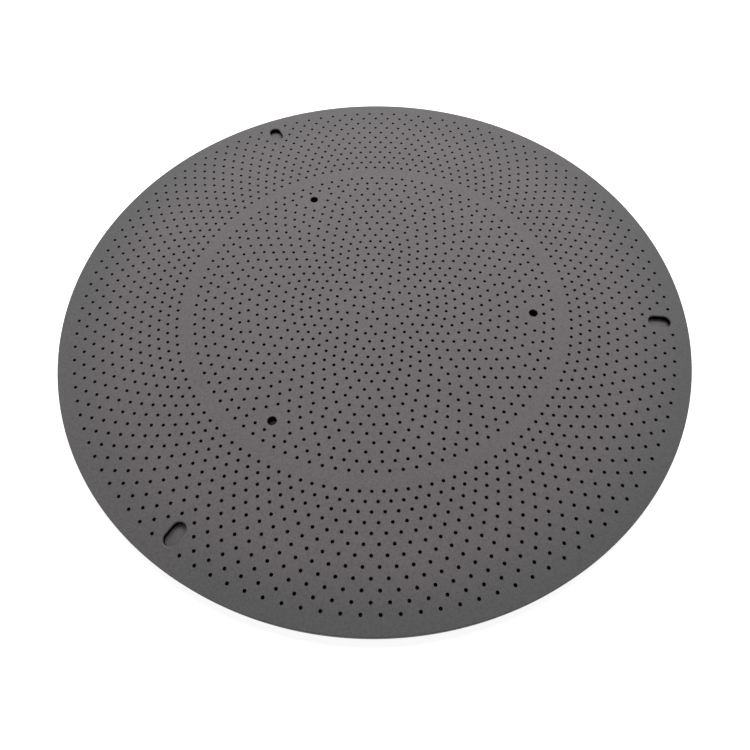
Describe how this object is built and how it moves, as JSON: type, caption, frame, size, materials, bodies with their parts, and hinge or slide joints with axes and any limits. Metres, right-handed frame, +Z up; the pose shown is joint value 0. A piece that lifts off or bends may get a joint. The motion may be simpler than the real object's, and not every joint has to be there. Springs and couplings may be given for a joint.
{
  "type": "coated graphite disc",
  "caption": "Round perforated carrier disc in coated graphite, with staggered rings of gas holes, lift-pin holes and blind locating slots near the rim.",
  "frame": {"origin": "centre of the underside", "axes": "+Z up through the disc towards the face with the slots, +X along one slot"},
  "size_m": [0.351, 0.351, 0.006],
  "materials": {
    "coated_graphite": "fine matte coating, dark grey"
  },
  "bodies": {
    "root": {"perforated_disc": "coated_graphite"}
  },
  "joints": []
}
